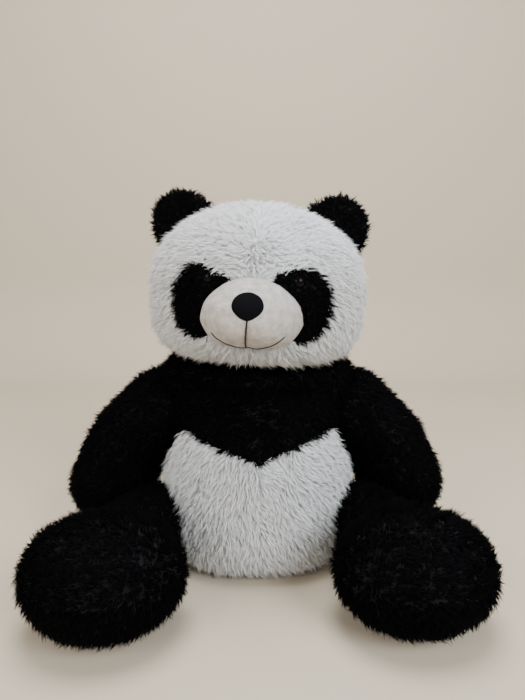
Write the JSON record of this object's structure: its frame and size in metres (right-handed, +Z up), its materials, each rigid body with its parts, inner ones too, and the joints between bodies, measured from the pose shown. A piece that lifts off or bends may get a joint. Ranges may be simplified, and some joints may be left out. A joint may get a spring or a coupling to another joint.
{
  "type": "plush panda",
  "caption": "Seated long-pile plush panda: round head with folding ears, raised muzzle and dark eyes, soft torso, and arms and legs that bend where they are sewn on.",
  "frame": {"origin": "middle of the seat's flat underside, below the middle of the torso", "axes": "+Z up, the panda faces -Y, its own left side at +X"},
  "size_m": [0.369, 0.281, 0.3461],
  "materials": {
    "black_plush": "long-pile plush",
    "white_plush": "long-pile plush",
    "short_plush": "short-pile plush",
    "nose_cloth": "matte woven cloth",
    "black_thread": "stitched thread",
    "white_thread": "stitched thread",
    "stuffing": "loose polyester fibre",
    "eye_plastic": "polished",
    "washer_plastic": "moulded"
  },
  "bodies": {
    "torso": {"chest_yoke": "black_plush", "back_yoke": "black_plush", "belly_panel_left": "white_plush", "belly_panel_right": "white_plush", "back_panel_left": "white_plush", "back_panel_right": "white_plush", "torso_stuffing": "stuffing", "closing_seam": "white_thread"},
    "neck": {"neck_stuffing": "stuffing"},
    "head": {"head_front_left": "white_plush", "head_front_right": "white_plush", "head_back": "white_plush", "eye_patch_left": "black_plush", "eye_patch_right": "black_plush", "head_stuffing": "stuffing", "muzzle_cover": "short_plush", "muzzle_stuffing": "stuffing", "nose": "nose_cloth", "philtrum_stitch": "black_thread", "smile_stitch": "black_thread", "eye_left": "eye_plastic", "eye_right": "eye_plastic", "eye_washer_left": "washer_plastic", "eye_washer_right": "washer_plastic"},
    "shoulder_left": {"shoulder_stuffing_left": "stuffing"},
    "arm_left": {"arm_outer_left": "black_plush", "arm_inner_left": "black_plush", "arm_stuffing_left": "stuffing"},
    "hip_left": {"hip_stuffing_left": "stuffing"},
    "leg_left": {"leg_upper_left": "black_plush", "leg_lower_left": "black_plush", "leg_stuffing_left": "stuffing"},
    "ear_left": {"ear_front_left": "black_plush", "ear_back_left": "black_plush"},
    "shoulder_right": {"shoulder_stuffing_right": "stuffing"},
    "arm_right": {"arm_outer_right": "black_plush", "arm_inner_right": "black_plush", "arm_stuffing_right": "stuffing"},
    "hip_right": {"hip_stuffing_right": "stuffing"},
    "leg_right": {"leg_upper_right": "black_plush", "leg_lower_right": "black_plush", "leg_stuffing_right": "stuffing"},
    "ear_right": {"ear_front_right": "black_plush", "ear_back_right": "black_plush"}
  },
  "joints": [
    {"name": "neck_turn", "type": "hinge", "parent": "torso", "child": "neck", "pos_m": [0, 0, 0.188], "axis": [0, 0, 1], "range_deg": [-50, 60]},
    {"name": "neck_nod", "type": "hinge", "parent": "neck", "child": "head", "pos_m": [0, 0, 0.188], "axis": [1, 0, 0], "range_deg": [-12, 15]},
    {"name": "shoulder_swing_left", "type": "hinge", "parent": "torso", "child": "shoulder_left", "pos_m": [0.095, 0.004, 0.137], "axis": [-1, 0, 0], "range_deg": [-20, 110]},
    {"name": "shoulder_lift_left", "type": "hinge", "parent": "shoulder_left", "child": "arm_left", "pos_m": [0.095, 0.004, 0.137], "axis": [0, -1, 0], "range_deg": [0, 45]},
    {"name": "hip_swing_left", "type": "hinge", "parent": "torso", "child": "hip_left", "pos_m": [0.096, -0.044, 0.046], "axis": [-1, 0, 0], "range_deg": [-24, 22]},
    {"name": "hip_splay_left", "type": "hinge", "parent": "hip_left", "child": "leg_left", "pos_m": [0.096, -0.044, 0.046], "axis": [0, 0, 1], "range_deg": [-6, 7]},
    {"name": "ear_fold_left", "type": "hinge", "parent": "head", "child": "ear_left", "pos_m": [0.07657, -0.00068, 0.30717], "axis": [0.7286, -0.0637, -0.682], "range_deg": [-25, 25]},
    {"name": "shoulder_swing_right", "type": "hinge", "parent": "torso", "child": "shoulder_right", "pos_m": [-0.095, 0.004, 0.137], "axis": [-1, 0, 0], "range_deg": [-20, 110]},
    {"name": "shoulder_lift_right", "type": "hinge", "parent": "shoulder_right", "child": "arm_right", "pos_m": [-0.095, 0.004, 0.137], "axis": [0, 1, 0], "range_deg": [0, 45]},
    {"name": "hip_swing_right", "type": "hinge", "parent": "torso", "child": "hip_right", "pos_m": [-0.096, -0.044, 0.046], "axis": [-1, 0, 0], "range_deg": [-24, 22]},
    {"name": "hip_splay_right", "type": "hinge", "parent": "hip_right", "child": "leg_right", "pos_m": [-0.096, -0.044, 0.046], "axis": [0, 0, -1], "range_deg": [-6, 7]},
    {"name": "ear_fold_right", "type": "hinge", "parent": "head", "child": "ear_right", "pos_m": [-0.0627, 0.01151, 0.31449], "axis": [0.7956, -0.0696, 0.6018], "range_deg": [-25, 25]}
  ]
}
